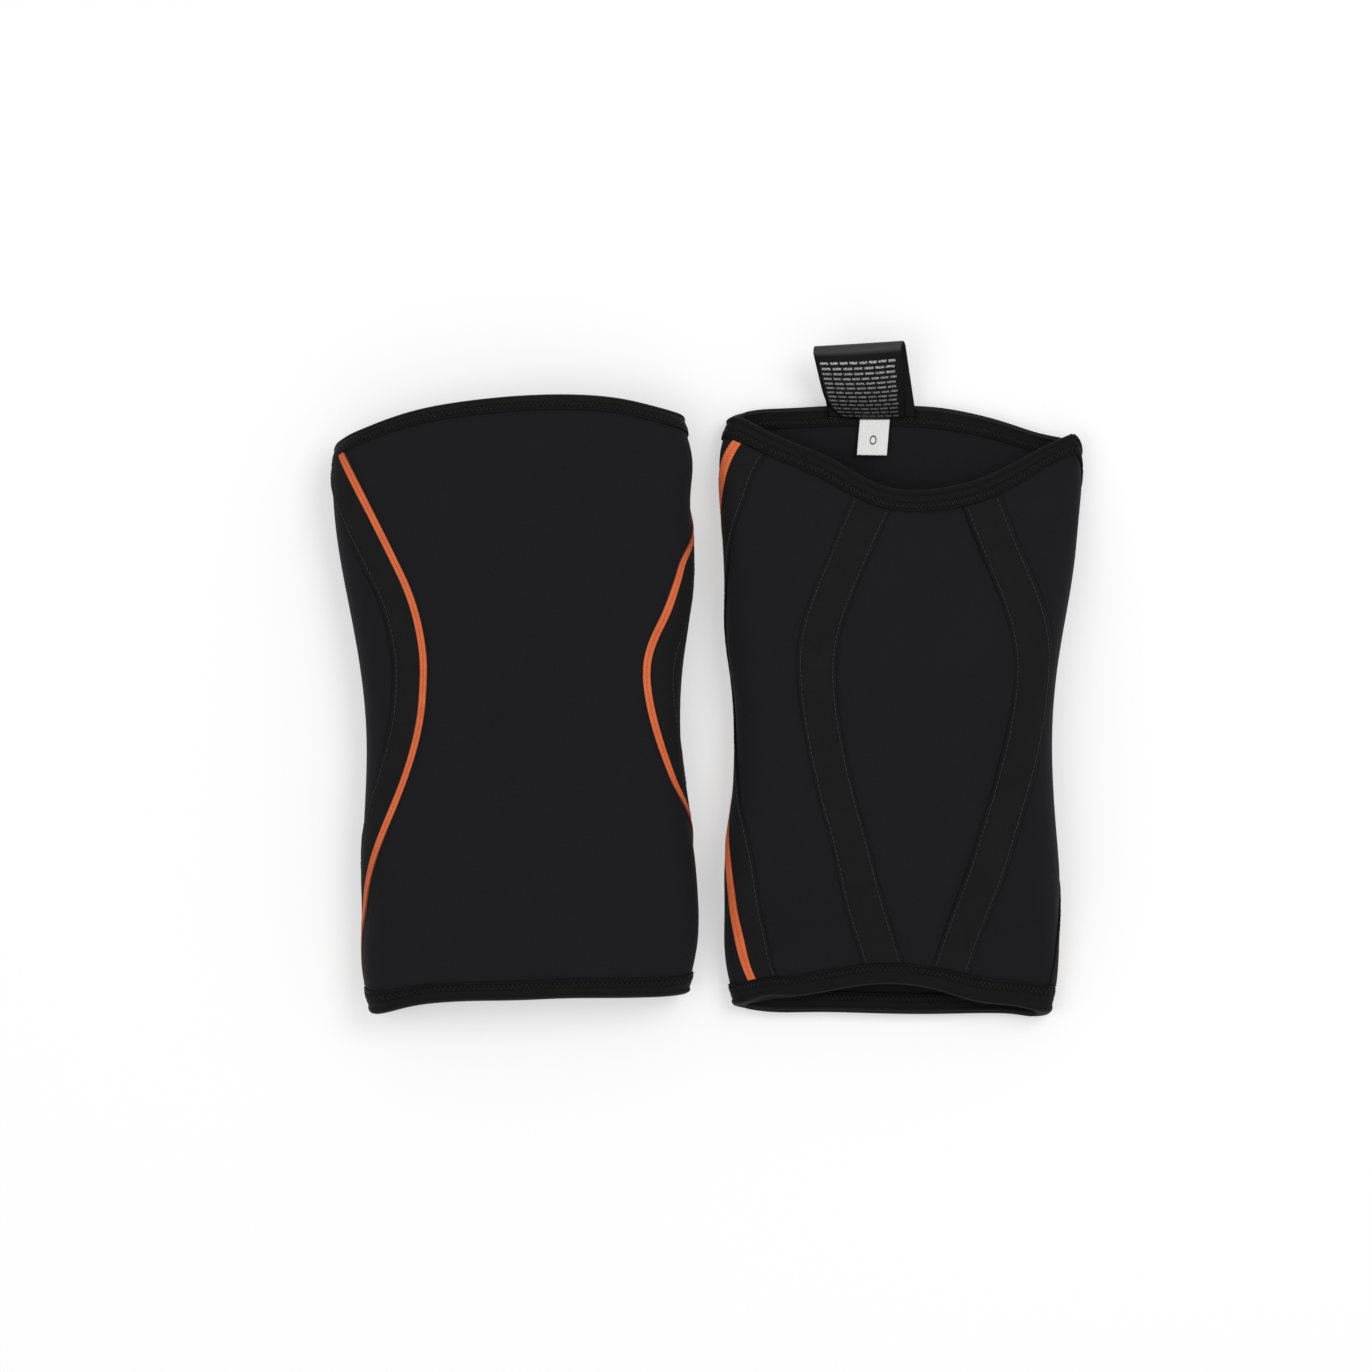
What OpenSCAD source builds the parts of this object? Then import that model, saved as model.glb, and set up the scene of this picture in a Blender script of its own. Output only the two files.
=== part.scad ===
// A pair of knee sleeves lying flat, the left one on its back and the right one on its front.
// X runs across the pair, Y up the leg and Z up from the surface that the pair lies on.
// A place on a sleeve is given by c, the way round it from the middle of its front,
// by t, the height above its lower edge, and by d, the height above its outer face.

/* [Sleeve] */
// Length of a sleeve along its side folds
side_length = 287; // [260:1:320]
// Width across the thigh
thigh_w = 181; // [168:1:195]
// Width across the narrowest place, below the knee
waist_w = 158; // [148:1:166]
// Width across the calf
calf_w = 168; // [160:1:180]
// Width at the upper edge
upper_edge_w = 174; // [165:1:190]
// Width at the lower edge
lower_edge_w = 156; // [150:1:170]
// Height of the widest place on the thigh
thigh_t = 263; // [235:1:275]
// Height of the narrowest place
waist_t = 140; // [120:1:150]
// Height of the widest place on the calf
calf_t = 58; // [40:1:75]
// Thickness of the neoprene
wall = 5; // [3:0.5:7]
// Radius of the side folds
fold_r = 16; // [13:0.5:20]
// Rise of the upper face between its folds
crown = 3; // [0:0.5:6]

/* [Edges] */
// Rise of the upper edge at the middle of the front, from its height at the sides
front_rise = 17; // [5:1:25]
// Dip of the upper edge at the middle of the back, from its height at the sides
back_dip = 27; // [10:1:35]
// Rise of the lower edge at the back
bottom_arch = 14; // [4:1:20]

/* [Seams] */
// Height of the place where the front seams come nearest to the middle of the front
front_knee_t = 160; // [145:1:185]
// Height of the place where the back seams lie farthest from the middle of the back
back_knee_t = 180; // [160:1:195]
// Front seam to the middle of the front, at the upper edge
front_seam_top = 110; // [90:1:116]
// Front seam to the middle of the front, at the knee
front_seam_knee = 62; // [50:0.5:72]
// Front seam to the middle of the front, at the lower edge
front_seam_bottom = 103.5; // [90:0.5:115]
// Back seam to the middle of the back, at the upper edge
back_seam_top = 23.5; // [20:0.5:34]
// Back seam to the middle of the back, at the knee
back_seam_knee = 54; // [45:0.5:60]
// Back seam to the middle of the back, at the lower edge
back_seam_bottom = 13.5; // [12:0.5:25]
// Radius of the bend in the front seams above the knee
front_bend = 9.5; // [1:0.5:25]
// Height below which the front seams run straight down the leg
front_foot_t = 23; // [0:1:40]
// Radius of the bend in the back seams at the knee
back_bend = 14; // [6:1:25]
// Gap between two panels at a seam
seam_gap = 0.3; // [0.2:0.05:0.6]

/* [Tapes] */
// Width of the black tape over a front seam
front_tape_w = 12.5; // [10:0.5:15]
// Width of the orange trim beside it
trim_w = 4.5; // [3:0.5:6]
// Width of the tape over a back seam
back_tape_w = 19; // [14:0.5:22]
// Thickness of the tapes and trims
tape_t = 0.7; // [0.5:0.1:1]
// Clearance between one layer of cloth and the next
seat = 0.3; // [0.25:0.05:0.4]

/* [Bindings] */
// Width of the binding on each face of an edge
binding_w = 10.5; // [9:0.5:14]
// Thickness of the binding
binding_t = 0.7; // [0.5:0.1:1]
// Width of the rolled rim
rim_w = 4.4; // [3:0.2:5]
// Height of the rolled rim over the rest of the binding
rim_roll = 0.8; // [0.7:0.1:1.2]

/* [Stitching] */
// Thickness of the thread
thread_d = 0.4; // [0.3:0.05:0.5]
// Width of the zigzag on the bindings
zigzag_w = 3; // [2:0.25:4]
// Number of zigzags round an edge
zigzags = 36; // [30:1:60]
// Stitching line to the edge of a tape
stitch_inset = 1.6; // [1.2:0.1:2.4]

/* [Labels] */
// Width of the folded care label
care_label_w = 44; // [30:1:50]
// Length of the folded care label
care_label_l = 41; // [25:1:45]
// Height of the loop at the care label's fold
care_loop_h = 4.4; // [3:0.2:6]
// Extra angle at which the care label stands out, over what clears the rim
care_lift = 0; // [0:1:15]
// Width of the size label
size_label_w = 15; // [10:0.5:20]
// Length of the size label
size_label_l = 18.5; // [12:0.5:24]
// Thickness of the label ribbon
ribbon_t = 0.4; // [0.3:0.05:0.6]
// Distance from the rim to the care label's seam, at the sides of the label
label_margin = 0.6; // [0.4:0.1:0.8]
// Distance between the two labels' seams
label_step = 1.8; // [1.6:0.1:2.4]

/* [Placing] */
// Gap between the two sleeves at their nearest
pair_gap = 8; // [4:1:60]
// Turn of the left sleeve on the surface
left_turn = 2.5; // [-5:0.1:5]
// Turn of the right sleeve on the surface
right_turn = -1.2; // [-5:0.1:5]
// How far the left sleeve is rolled towards the right
left_roll = 6.5; // [-20:0.5:20]
// How far the right sleeve is rolled towards the right
right_roll = 14.5; // [-20:0.5:20]
// Twist of the left sleeve, as its extra roll above the knee
left_twist = 6.5; // [-10:0.5:10]
// Length over which it twists
twist_length = 60; // [40:1:100]
// How far the right sleeve lies below the left one
right_drop = 4; // [-10:1:10]

/* [Hidden] */

// Colours of the cloth
jersey = [0.12, 0.12, 0.13];
tape_black = [0.1, 0.1, 0.1];
binding_black = [0.09, 0.09, 0.1];
trim_orange = [0.9, 0.36, 0.16];
thread_grey = [0.2, 0.2, 0.21];
label_white = [0.9, 0.9, 0.89];

// Layers above the outer face: tape or binding first, then thread, with the rim outermost
tape_low = seat;
tape_high = tape_low + tape_t;
binding_high = seat + binding_t;
rim_high = binding_high + rim_roll;
thread_low = max(tape_high, binding_high) + seat;
thread_high = thread_low + thread_d;
// The same layers below the inner face
inner_seat = -wall - seat;
inner_binding = inner_seat - binding_t;
inner_rim = inner_binding - rim_roll;
// The outer face lies this high where the rims or threads rest on the surface
stack = max(rim_high, thread_high);
// A panel ends inside the binding, and a tape ends short of it
panel_inset = binding_t + seat;
tape_inset = binding_w + seat;

// Each sleeve: its roll below the knee, its twist, and the half turns from its upper face to its front
LEFT = [left_roll, left_twist, 0];
RIGHT = [right_roll, 0, 1];
// The side panels that face the other sleeve, and those that face away
INNER = 1;
OUTER = -1;

// Rows of points up the leg, and columns of points between the lines of the seams
rows = 14;
front_middle = 0.6;
front_middle_columns = 2;
front_edge_columns = 5;
side_columns = 6;
back_columns = 2;
loop_facets = 12;
thread_facets = 24;

function mix(a, b, u) = a + (b - a) * u;
function ease(u) = (1 - cos(180 * u)) / 2;
function degrees(radians) = radians * 180 / PI;

// Half the width of the lying sleeve
function half_width(t) =
    (t < calf_t ? mix(calf_w, lower_edge_w, pow((calf_t - t) / calf_t, 4))
    : t < waist_t ? mix(calf_w, waist_w, ease((t - calf_t) / (waist_t - calf_t)))
    : t < thigh_t ? mix(waist_w, thigh_w, ease((t - waist_t) / (thigh_t - waist_t)))
    : mix(thigh_w, upper_edge_w, pow((t - thigh_t) / (side_length - thigh_t), 2))) / 2;

// Half the way round the lying sleeve
function half_round(t) = 2 * (half_width(t) - fold_r) + PI * fold_r;

// Upper face of the lying section, which rises a little between the folds
function upper_face(x, flat, d) = [x, 2 * fold_r + d + crown * pow(cos(90 * x / flat), 2)];

// Side fold of the lying section, from its upper end
function side_fold(way, flat, d) =
    let (a = degrees(way / fold_r))
    [flat + (fold_r + d) * sin(a), fold_r + (fold_r + d) * cos(a)];

// The lying section: two flat faces joined by two folds, from the middle of the upper face
function section(way, t, d) =
    let (
        flat = half_width(t) - fold_r,
        turn = PI * fold_r,
        whole = 4 * flat + 2 * turn,
        w = way - whole * floor(way / whole),
        mirrored = w > whole / 2,
        m = mirrored ? whole - w : w,
        p = m < flat ? upper_face(m, flat, d)
            : m < flat + turn ? side_fold(m - flat, flat, d)
            : [2 * flat + turn - m, -d]
    )
    mirrored ? [-p.x, p.y] : p;

// The two edges of a sleeve by the angle round it from the middle of the front
function upper_edge(angle) =
    let (share = cos(angle))
    side_length + share * (front_rise + back_dip) / 2 + share * share * (front_rise - back_dip) / 2;
function lower_edge(angle) = bottom_arch * pow((1 - cos(angle)) / 2, 2);
function length_at(angle) = upper_edge(angle) - lower_edge(angle);
function angle_at(c, t) = 180 * c / half_round(t);

// Share of the twist that a sleeve has made at a height
function twist_share(t) = ease(min(1, max(0, (t - back_knee_t) / twist_length + 0.5)));

// Way from the middle of the upper face to the middle of the front
function front_way(sleeve, t) = sleeve[0] + sleeve[1] * twist_share(t) + sleeve[2] * half_round(t);

// A place on a sleeve as a point
function spot(sleeve, c, t, d) =
    let (
        p = section(c + front_way(sleeve, t), t, d),
        angle = angle_at(c, t),
        y = lower_edge(angle) + t / side_length * length_at(angle)
    )
    [p.x, y - side_length / 2, p.y + stack];

// A seam that leaves the knee in a bend and then runs straight to its end
function bent(u, rise, bend) =
    let (reach = sqrt(pow(abs(rise) + bend, 2) - pow(bend, 2)))
    sign(rise) * (sqrt(pow(bend, 2) + pow(u * reach, 2)) - bend);

// Lines up the leg, each as a way round from the middle of the front: first the seams
front_seam = function (t)
    t < front_foot_t ? front_seam_bottom
    : t < front_knee_t
    ? mix(front_seam_bottom, front_seam_knee, ease((t - front_foot_t) / (front_knee_t - front_foot_t)))
    : front_seam_knee + bent(
        (t - front_knee_t) / (side_length - front_knee_t), front_seam_top - front_seam_knee, front_bend);
back_seam = function (t)
    half_round(t) - back_seam_knee - (t < back_knee_t
    ? bent((back_knee_t - t) / back_knee_t, back_seam_bottom - back_seam_knee, back_bend)
    : bent((t - back_knee_t) / (side_length - back_knee_t), back_seam_top - back_seam_knee, back_bend));
// The trim and then the black tape over a front seam, with their stitching
trim_near = function (t) front_seam(t) - (trim_w + seam_gap + front_tape_w) / 2;
trim_middle = function (t) trim_near(t) + trim_w / 2;
trim_far = function (t) trim_near(t) + trim_w;
front_tape_near = function (t) trim_far(t) + seam_gap;
front_tape_far = function (t) front_tape_near(t) + front_tape_w;
front_stitch = function (t) front_tape_far(t) - stitch_inset;
// The tape over a back seam, with its stitching
back_tape_near = function (t) back_seam(t) - back_tape_w / 2;
back_stitch_near = function (t) back_tape_near(t) + stitch_inset;
back_tape_far = function (t) back_seam(t) + back_tape_w / 2;
back_stitch_far = function (t) back_tape_far(t) - stitch_inset;
// The middle of the front and of the back
front_line = function (t) 0;
back_line = function (t) half_round(t);

// A line moved aside, lines spread from one line to another, and lines in mirror image
function beside(line, way) = function (t) line(t) + way;
function between(from, to, shares) = [for (u = shares) function (t) mix(from(t), to(t), u)];
function even(count) = [for (i = [0 : count]) i / count];
function across_front(lines) =
    [for (i = [len(lines) - 1 : -1 : 0]) let (line = lines[i]) function (t) -line(t)];
function across_back(lines) =
    [for (i = [len(lines) - 1 : -1 : 0]) let (line = lines[i]) function (t) 2 * half_round(t) - line(t)];

// Lines of the inner half of a sleeve, which the panels, tapes and bindings share
front_shares = concat(
    [for (i = [0 : front_middle_columns - 1]) front_middle * i / front_middle_columns],
    [for (i = [0 : front_edge_columns]) mix(front_middle, 1, i / front_edge_columns)]
);
front_half = concat(between(front_line, trim_near, front_shares), [trim_middle, trim_far]);
side_middle = between(front_tape_far, back_tape_near, even(side_columns));
side_part = concat([front_stitch], side_middle, [back_stitch_near]);
back_half = concat([back_stitch_far], between(back_tape_far, back_line, even(back_columns)));

// The same list without its first or its last member
function after_first(list) = [for (i = [1 : len(list) - 1]) list[i]];
function before_last(list) = [for (i = [0 : len(list) - 2]) list[i]];

// All lines round an edge
inner_lines = concat(front_half, [front_seam], side_part, [back_seam], back_half);
ring_lines = concat(inner_lines, across_front(after_first(before_last(inner_lines))));

// Height of a place on a line, a given way in from the lower or the upper edge
function above_lower(line, inset) = inset * side_length / length_at(angle_at(line(0), 0));
function below_upper(line, inset) =
    side_length - inset * side_length / length_at(angle_at(line(side_length), side_length));

// Heights of the rows on a line, between the ends of a tape or of a panel
function rows_up(line, end_inset) =
    let (
        low = above_lower(line, tape_inset),
        high = below_upper(line, tape_inset),
        inner_rows = [for (v = even(rows)) mix(low, high, v)]
    )
    end_inset == tape_inset ? inner_rows
    : concat([above_lower(line, end_inset)], inner_rows, [below_upper(line, end_inset)]);

// Two triangles over a patch of four corners, split along the diagonal that goes round the leg less.
// Where both go as far, the second diagonal is taken, so that neighbouring layers are split alike.
alike = 0.01;
function patch(points, a, b, c, d) =
    let (
        one = points[c] - points[a],
        other = points[d] - points[b]
    )
    norm([one.x, one.z]) < norm([other.x, other.z]) - alike ? [[a, b, c], [a, c, d]]
    : [[a, b, d], [b, c, d]];

// A sheet of cloth across a list of lines, from depth d_in to depth d_out
module strip(sleeve, lines, end_inset, d_in, d_out) {
    heights = [for (line = lines) rows_up(line, end_inset)];
    up = len(heights[0]);
    across = len(lines);
    layer = up * across;
    points = [
        for (d = [d_in, d_out])
            for (i = [0 : up - 1])
                for (j = [0 : across - 1])
                    let (
                        line = lines[j],
                        t = heights[j][i]
                    )
                    spot(sleeve, line(t), t, d)
    ];
    faces = [
        for (i = [0 : up - 2])
            for (j = [0 : across - 2])
                let (
                    a = i * across + j,
                    b = a + 1,
                    c = b + across,
                    d = a + across
                )
                each concat(
                    patch(points, a, b, c, d),
                    patch(points, a + layer, d + layer, c + layer, b + layer)
                )
    ];
    ends = [
        for (j = [0 : across - 2])
            let (
                a = j,
                b = j + (up - 1) * across
            )
            each [
                [a, a + layer, a + 1],
                [a + 1, a + layer, a + 1 + layer],
                [b, b + 1, b + layer],
                [b + 1, b + 1 + layer, b + layer]
            ]
    ];
    sides = [
        for (i = [0 : up - 2])
            let (
                a = i * across,
                b = a + across - 1
            )
            each [
                [a, a + across, a + layer],
                [a + across, a + across + layer, a + layer],
                [b, b + layer, b + across],
                [b + across, b + layer, b + across + layer]
            ]
    ];
    polyhedron(points, concat(faces, ends, sides));
}

// A place on a line, a given way in from the upper or the lower edge
function edge_spot(sleeve, upper, line, inset, d) =
    let (t = upper ? below_upper(line, inset) : above_lower(line, inset))
    spot(sleeve, line(t), t, d);

// Triangles of a closed tube, from rings of points with so many sides
function tube_faces(points, rings, sides, inside_out) = [
    for (i = [0 : rings - 1])
        for (j = [0 : sides - 1])
            let (
                a = i * sides + j,
                b = i * sides + (j + 1) % sides,
                c = (i + 1) % rings * sides + (j + 1) % sides,
                d = (i + 1) % rings * sides + j
            )
            each inside_out ? patch(points, a, d, c, b) : patch(points, a, b, c, d)
];

// The folded binding in section: way in from the edge, and height above the outer face
rim_in = rim_w + rim_roll;
rim_corner = binding_t;
binding_section = [
    [binding_w, seat],
    [binding_w, binding_high],
    [rim_in, binding_high],
    [rim_w, rim_high],
    [rim_corner, rim_high],
    [0, seat],
    [0, inner_seat],
    [rim_corner, inner_rim],
    [rim_w, inner_rim],
    [rim_in, inner_binding],
    [binding_w, inner_binding],
    [binding_w, inner_seat],
    [binding_t, inner_seat],
    [binding_t, seat]
];

// Thread in section: across its run, and height above the outer face
thread_r = thread_d / 2;
thread_section = [
    [-thread_r, thread_low],
    [0, thread_high],
    [thread_r, thread_low]
];

// Seams of the labels, on the inner face of the binding at the middle of the right front
label_d = inner_binding - seat - thread_r;
// The edge falls this far from the middle of the front to the side of the care label
near_way = front_shares[1] * trim_near(side_length);
near_fall = upper_edge(0) - upper_edge(angle_at(near_way, side_length));
label_fall = near_fall * care_label_w / 2 / near_way;
care_seam_in = rim_in + label_fall + label_margin;
size_seam_in = care_seam_in + label_step;
function label_seam(inset) = edge_spot(RIGHT, true, front_line, inset, label_d);
// Clear way from a seam's thread to the ribbon that it holds
ribbon_start = thread_r + seat;
// The care label stands out far enough to clear the top of the rim
rim_reach = [care_seam_in - label_fall - rim_w, label_d - inner_rim];
care_rise = atan2(rim_reach.y, rim_reach.x) + asin(seat / norm(rim_reach)) + care_lift;

// Places of the sleeves, with the middle of the pair's outline at the origin
thigh_arm = thigh_t - side_length / 2;
calf_arm = side_length / 2 - calf_t;
lean_apart = sin(left_turn) - sin(right_turn);
nearest_w = max(thigh_w - thigh_arm * lean_apart, calf_w + calf_arm * lean_apart) + 2 * stack;
pair_spacing = nearest_w + pair_gap;
middle_x = thigh_arm * (sin(left_turn) + sin(right_turn)) / 2;
care_tip_y = label_seam(care_seam_in).y + care_label_l * cos(care_rise);
right_y = (side_length / 2 - care_tip_y) / 2;
left_place = [middle_x - pair_spacing / 2, right_y + right_drop, 0];
right_place = [middle_x + pair_spacing / 2, right_y, 0];

module lay(sleeve) {
    right = sleeve == RIGHT;
    translate(right ? right_place : left_place)
        rotate([0, 0, right ? right_turn : left_turn])
            children();
}

// Neoprene between the two front seams
module front_panel(sleeve) {
    half = concat(front_half, [beside(front_seam, -seam_gap / 2)]);
    color(jersey)
        lay(sleeve)
            strip(sleeve, concat(across_front(after_first(half)), half), panel_inset, -wall, 0);
}

// Neoprene from a front seam round the side fold to a back seam
module side_panel(sleeve, side) {
    half = concat([beside(front_seam, seam_gap / 2)], side_part, [beside(back_seam, -seam_gap / 2)]);
    color(jersey)
        lay(sleeve)
            strip(sleeve, side == INNER ? half : across_front(half), panel_inset, -wall, 0);
}

// Neoprene between the two back seams, behind the knee
module back_panel(sleeve) {
    half = concat([beside(back_seam, seam_gap / 2)], back_half);
    color(jersey)
        lay(sleeve)
            strip(sleeve, concat(half, across_back(before_last(half))), panel_inset, -wall, 0);
}

// A flat band on the outer face, across a list of lines on the inner or the outer side
module band(sleeve, side, lines) {
    lay(sleeve)
        strip(sleeve, side == INNER ? lines : across_front(lines), tape_inset, tape_low, tape_high);
}

// Black tape over a front seam
module front_tape(sleeve, side) {
    color(tape_black)
        band(sleeve, side, [front_tape_near, front_seam, front_stitch, front_tape_far]);
}

// Orange trim along the front edge of that tape
module trim(sleeve, side) {
    color(trim_orange)
        band(sleeve, side, [trim_near, trim_middle, trim_far]);
}

// Wide black tape over a back seam
module back_tape(sleeve, side) {
    color(tape_black)
        band(sleeve, side, [back_tape_near, back_stitch_near, back_seam, back_stitch_far, back_tape_far]);
}

// Folded binding round the upper or the lower edge
module binding(sleeve, upper) {
    points = [
        for (line = ring_lines)
            for (p = binding_section)
                edge_spot(sleeve, upper, line, p[0], p[1])
    ];
    color(binding_black)
        lay(sleeve)
            polyhedron(points, tube_faces(points, len(ring_lines), len(binding_section), !upper));
}

// Zigzag that sews a binding down, as one thread round the edge
module hem_stitching(sleeve, upper) {
    steps = 2 * zigzags;
    middle = (rim_in + binding_w) / 2;
    points = [
        for (i = [0 : steps - 1])
            for (p = thread_section)
                let (
                    line = function (t) 2 * half_round(t) * i / steps,
                    inset = middle + zigzag_w / 2 * (i % 2 == 0 ? 1 : -1) + p[0]
                )
                edge_spot(sleeve, upper, line, inset, p[1])
    ];
    color(thread_grey)
        lay(sleeve)
            polyhedron(points, tube_faces(points, steps, len(thread_section), upper));
}

// One line of stitching up the leg, on the inner or the outer side
module stitch_line(sleeve, side, line) {
    edges = [beside(line, -thread_r), beside(line, thread_r)];
    strip(sleeve, side == INNER ? edges : across_front(edges), tape_inset, thread_low, thread_high);
}

// Stitching along both edges of the back tapes and the far edge of the front tapes
module tape_stitching(sleeve) {
    color(thread_grey)
        lay(sleeve)
            for (side = [INNER, OUTER])
                for (line = [front_stitch, back_stitch_near, back_stitch_far])
                    stitch_line(sleeve, side, line);
}

// Stitching along the middle of the orange trims
module trim_stitching(sleeve) {
    color(trim_orange)
        lay(sleeve)
            for (side = [INNER, OUTER])
                stitch_line(sleeve, side, trim_middle);
}

// Ribbon folded into a loop and sewn in by both ends, turned out over the edge
module care_label() {
    outer_r = care_loop_h / 2;
    inner_r = outer_r - ribbon_t;
    fold_y = care_label_l - outer_r;
    upper_low = ribbon_t + seat;
    arc = [for (i = [0 : loop_facets]) -90 + 180 * i / loop_facets];
    loop = concat(
        [[ribbon_start, 0]],
        [for (a = arc) [fold_y + outer_r * cos(a), outer_r + outer_r * sin(a)]],
        [[ribbon_start, upper_low + ribbon_t], [ribbon_start, upper_low]],
        [for (a = arc) [fold_y + inner_r * cos(a), outer_r - inner_r * sin(a)]],
        [[ribbon_start, ribbon_t]]
    );
    color(binding_black)
        lay(RIGHT)
            translate(label_seam(care_seam_in))
                rotate([care_rise, 0, 0])
                    rotate([90, 0, 90])
                        linear_extrude(care_label_w, center = true)
                            polygon(loop);
}

// Small white ribbon with the size, lying on the inner face
module size_label() {
    drop = atan((seat + binding_t) / (binding_w + size_label_l));
    color(label_white)
        lay(RIGHT)
            translate(label_seam(size_seam_in))
                rotate([drop, 0, 0])
                    translate([-size_label_w / 2, -size_label_l - ribbon_start, -ribbon_t / 2])
                        cube([size_label_w, size_label_l, ribbon_t]);
}

// A thread that holds a label, on the line that the label turns about
module label_thread(inset, width) {
    translate(label_seam(inset))
        rotate([0, 90, 0])
            cylinder(h = width, r = thread_r, center = true, $fn = thread_facets);
}

// Threads that hold the two labels
module label_stitching() {
    color(thread_grey)
        lay(RIGHT) {
            label_thread(care_seam_in, care_label_w);
            label_thread(size_seam_in, size_label_w);
        }
}

front_panel(LEFT);  // left_front_panel
side_panel(LEFT, INNER);  // left_inner_side_panel
side_panel(LEFT, OUTER);  // left_outer_side_panel
back_panel(LEFT);  // left_back_panel
front_tape(LEFT, INNER);  // left_inner_front_tape
front_tape(LEFT, OUTER);  // left_outer_front_tape
trim(LEFT, INNER);  // left_inner_trim
trim(LEFT, OUTER);  // left_outer_trim
back_tape(LEFT, INNER);  // left_inner_back_tape
back_tape(LEFT, OUTER);  // left_outer_back_tape
binding(LEFT, true);  // left_upper_binding
binding(LEFT, false);  // left_lower_binding
hem_stitching(LEFT, true);  // left_upper_hem_stitching
hem_stitching(LEFT, false);  // left_lower_hem_stitching
tape_stitching(LEFT);  // left_tape_stitching
trim_stitching(LEFT);  // left_trim_stitching
front_panel(RIGHT);  // right_front_panel
side_panel(RIGHT, INNER);  // right_inner_side_panel
side_panel(RIGHT, OUTER);  // right_outer_side_panel
back_panel(RIGHT);  // right_back_panel
front_tape(RIGHT, INNER);  // right_inner_front_tape
front_tape(RIGHT, OUTER);  // right_outer_front_tape
trim(RIGHT, INNER);  // right_inner_trim
trim(RIGHT, OUTER);  // right_outer_trim
back_tape(RIGHT, INNER);  // right_inner_back_tape
back_tape(RIGHT, OUTER);  // right_outer_back_tape
binding(RIGHT, true);  // right_upper_binding
binding(RIGHT, false);  // right_lower_binding
hem_stitching(RIGHT, true);  // right_upper_hem_stitching
hem_stitching(RIGHT, false);  // right_lower_hem_stitching
tape_stitching(RIGHT);  // right_tape_stitching
trim_stitching(RIGHT);  // right_trim_stitching
care_label();  // right_care_label
size_label();  // right_size_label
label_stitching();  // right_label_stitching
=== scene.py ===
import math
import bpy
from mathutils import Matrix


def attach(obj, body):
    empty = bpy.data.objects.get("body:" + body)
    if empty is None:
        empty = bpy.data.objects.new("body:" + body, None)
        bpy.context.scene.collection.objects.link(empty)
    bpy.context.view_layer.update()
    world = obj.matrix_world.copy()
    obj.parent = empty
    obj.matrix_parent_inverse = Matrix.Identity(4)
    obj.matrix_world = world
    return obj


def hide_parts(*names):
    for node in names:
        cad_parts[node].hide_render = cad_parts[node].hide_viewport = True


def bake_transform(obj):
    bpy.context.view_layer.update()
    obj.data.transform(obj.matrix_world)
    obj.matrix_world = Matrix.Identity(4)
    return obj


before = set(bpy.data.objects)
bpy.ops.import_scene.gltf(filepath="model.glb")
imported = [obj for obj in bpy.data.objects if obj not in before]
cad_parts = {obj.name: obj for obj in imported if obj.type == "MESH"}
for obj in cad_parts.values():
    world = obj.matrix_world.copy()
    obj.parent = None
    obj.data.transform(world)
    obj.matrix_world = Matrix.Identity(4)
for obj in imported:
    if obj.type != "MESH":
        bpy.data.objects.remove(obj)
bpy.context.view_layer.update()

from types import SimpleNamespace

import bmesh
import bpy
import numpy as np
from mathutils import Matrix, Vector


# ---- Front panels ----------------------------------------------------------------------------
# The hourglass over the knee, cut from 5 mm neoprene foam that is faced on both sides with black
# jersey. It is sewn edge to edge with its neighbours into a tube, and the empty tube lies flat on
# one face with full, round folds at its sides. The left sleeve lies front up, the right back up.

# How each sleeve lies. It is turned on the table and rolled about its length, and its thigh end is
# twisted further; over is 1 for the one that lies back up. The side folds are pressed flatter at the
# lower and the upper end, and the upper face droops over its ends and is drawn towards the hems. A
# slip is a line round the leg, two heights up it, and how far the cloth slides round between them. A
# tug is a place on the table, how far the cloth is pulled there, and how far that reaches. The lifts
# are the same for the upper face alone, and the mood is where the swells of the wall start.
LEFT = SimpleNamespace(
    name="left", x=-0.0912051, y=-0.0197487, turn=math.radians(2.5),
    roll=0.0065, twist=0.0065, over=0, mood=0.0,
    press=(0.0, 0.0), droop=0.0065, draw=(0.0006, 0.0028),
    slips=[
        (0.100, 0.180, 0.200, -0.0030), (0.100, 0.207, 0.236, 0.0175),
        (0.090, 0.108, 0.072, 0.0095), (-0.092, 0.050, 0.024, -0.0045),
    ],
    lifts=[],
    tugs=[
        (-0.166, -0.167, -0.0022, -0.0058, 0.015), (-0.171, -0.148, -0.0030, 0.0, 0.022),
        (-0.120, -0.165, 0.0, 0.0030, 0.032), (-0.070, -0.160, 0.0, 0.0024, 0.030),
        (-0.033, -0.157, 0.0, 0.0005, 0.022), (-0.004, -0.155, -0.0030, 0.0, 0.022),
        (-0.006, -0.060, -0.0026, 0.0, 0.040), (-0.008, 0.036, 0.0024, 0.0, 0.026),
        (-0.005, 0.090, -0.0014, 0.0, 0.014), (-0.006, 0.112, 0.0010, 0.0, 0.016),
        (-0.010, 0.131, -0.0022, -0.0040, 0.026), (-0.150, 0.132, 0.0, 0.0014, 0.030),
    ],
)
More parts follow.
